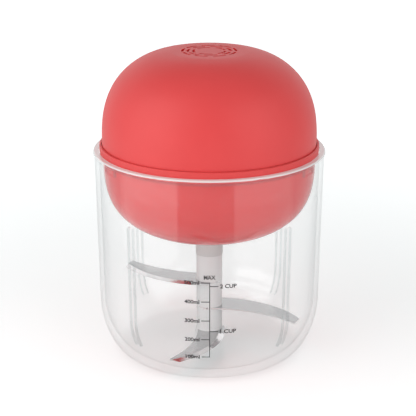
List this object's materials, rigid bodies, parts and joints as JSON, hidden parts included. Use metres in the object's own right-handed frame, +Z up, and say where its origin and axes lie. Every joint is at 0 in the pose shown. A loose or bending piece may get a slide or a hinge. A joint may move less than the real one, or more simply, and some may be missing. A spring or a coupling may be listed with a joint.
{
  "type": "cordless press-top food chopper",
  "caption": "Cordless food chopper: clear round bowl with measuring scale, curved blades on a central column, and a domed motor head that is pressed down to run it.",
  "frame": {"origin": "centre of the bowl's underside, on the surface it stands on", "axes": "+Z up along the blade column, front with the measuring scale towards -Y, charging port towards +Y"},
  "size_m": [0.1214, 0.1214, 0.1628],
  "materials": {
    "clear_bowl": "clear polished copolyester",
    "frosted_plastic": "translucent grey-white, satin",
    "grey_plastic": "light grey, satin",
    "dome_red": "coral red, soft-touch matte",
    "cup_red": "coral red, polished",
    "red_silicone": "coral red silicone, matte",
    "blade_steel": "fine brushed, ground edge polished",
    "polished_steel": "polished",
    "screw_steel": "zinc plated",
    "spring_steel": "drawn wire",
    "motor_steel": "zinc plated sheet",
    "bronze": "sintered",
    "copper": "enamelled",
    "magnet": "ground ferrite",
    "carbon": "pressed carbon",
    "white_nylon": "moulded, satin",
    "dark_plastic": "moulded, matte",
    "black_rubber": "moulded, matte",
    "cell_wrap": "shrink-wrapped can",
    "board_green": "solder mask",
    "wire_sleeve": "sleeve"
  },
  "bodies": {
    "bowl": {"bowl": "clear_bowl", "spindle_pin": "polished_steel"},
    "blade_carrier": {"thrust_washer": "white_nylon"},
    "blades": {"blade_column": "frosted_plastic", "drive_socket": "grey_plastic", "pin_bushings": "bronze", "upper_blade": "blade_steel", "middle_blade": "blade_steel", "lower_blade": "blade_steel"},
    "head": {"lower_housing": "cup_red", "head_collar": "dome_red", "bowl_seal": "red_silicone", "shaft_seal": "black_rubber", "chassis": "dark_plastic", "chassis_screws": "screw_steel", "gearbox_housing": "white_nylon", "gearbox_cover": "white_nylon", "gearbox_screws": "screw_steel", "cover_screws": "screw_steel", "output_bushing": "bronze", "motor_can": "motor_steel", "motor_cap": "dark_plastic", "motor_bushes": "bronze", "motor_magnets": "magnet", "motor_brushes": "carbon", "motor_terminals": "bronze", "motor_screws": "screw_steel", "battery_cells": "cell_wrap", "control_board": "board_green", "charge_socket": "polished_steel", "micro_switch": "dark_plastic", "wire_leads": "wire_sleeve", "return_springs": "spring_steel"},
    "dome": {"press_dome": "dome_red", "dome_screws": "screw_steel"},
    "plunger": {"switch_plunger": "grey_plastic"},
    "flap": {"port_cover": "red_silicone"},
    "output": {"output_shaft": "polished_steel", "shaft_clip": "spring_steel", "planet_carrier": "grey_plastic", "planet_pins": "polished_steel"},
    "planet_1": {"planet_gear_1": "white_nylon"},
    "planet_2": {"planet_gear_2": "white_nylon"},
    "planet_3": {"planet_gear_3": "white_nylon"},
    "rotor": {"motor_shaft": "polished_steel", "sun_gear": "bronze", "armature": "motor_steel", "windings": "copper", "commutator": "copper"}
  },
  "joints": [
    {"name": "blade_lift", "type": "slide", "parent": "bowl", "child": "blade_carrier", "axis": [0, 0, 1], "range_m": [0, 0.116]},
    {"name": "head_lift", "type": "slide", "parent": "blade_carrier", "child": "head", "axis": [0, 0, 1], "range_m": [0, 0.065]},
    {"name": "blade_spin", "type": "hinge", "parent": "blade_carrier", "child": "blades", "pos_m": [0, 0, 0.03], "axis": [0, 0, 1], "continuous": true},
    {"name": "dome_press", "type": "slide", "parent": "head", "child": "dome", "axis": [0, 0, -1], "range_m": [0, 0.003], "stiffness_N_per_m": 1500, "springref_m": -0.004, "deforming": ["return_springs"]},
    {"name": "plunger_press", "type": "slide", "parent": "head", "child": "plunger", "axis": [0, 0, -1], "range_m": [0, 0.003]},
    {"name": "flap_hinge", "type": "hinge", "parent": "dome", "child": "flap", "pos_m": [0, 0.055, 0.1204], "axis": [-1, 0, 0], "range_deg": [0, 85], "stiffness_Nm_per_rad": 0.004},
    {"name": "output_spin", "type": "hinge", "parent": "head", "child": "output", "pos_m": [0, 0, 0.07], "axis": [0, 0, 1], "continuous": true},
    {"name": "rotor_spin", "type": "hinge", "parent": "head", "child": "rotor", "pos_m": [0, 0, 0.1], "axis": [0, 0, 1], "continuous": true},
    {"name": "planet_1_spin", "type": "hinge", "parent": "output", "child": "planet_1", "pos_m": [0.009, 0, 0.081], "axis": [0, 0, 1], "continuous": true},
    {"name": "planet_2_spin", "type": "hinge", "parent": "output", "child": "planet_2", "pos_m": [-0.0045, 0.00779, 0.081], "axis": [0, 0, 1], "continuous": true},
    {"name": "planet_3_spin", "type": "hinge", "parent": "output", "child": "planet_3", "pos_m": [-0.0045, -0.00779, 0.081], "axis": [0, 0, 1], "continuous": true}
  ],
  "couplings": [
    {"joint": "plunger_press", "follows": "dome_press", "ratio": 1},
    {"joint": "output_spin", "follows": "blade_spin", "ratio": 1},
    {"joint": "rotor_spin", "follows": "blade_spin", "ratio": 5},
    {"joint": "planet_1_spin", "follows": "blade_spin", "ratio": -2.6667},
    {"joint": "planet_2_spin", "follows": "blade_spin", "ratio": -2.6667},
    {"joint": "planet_3_spin", "follows": "blade_spin", "ratio": -2.6667}
  ]
}
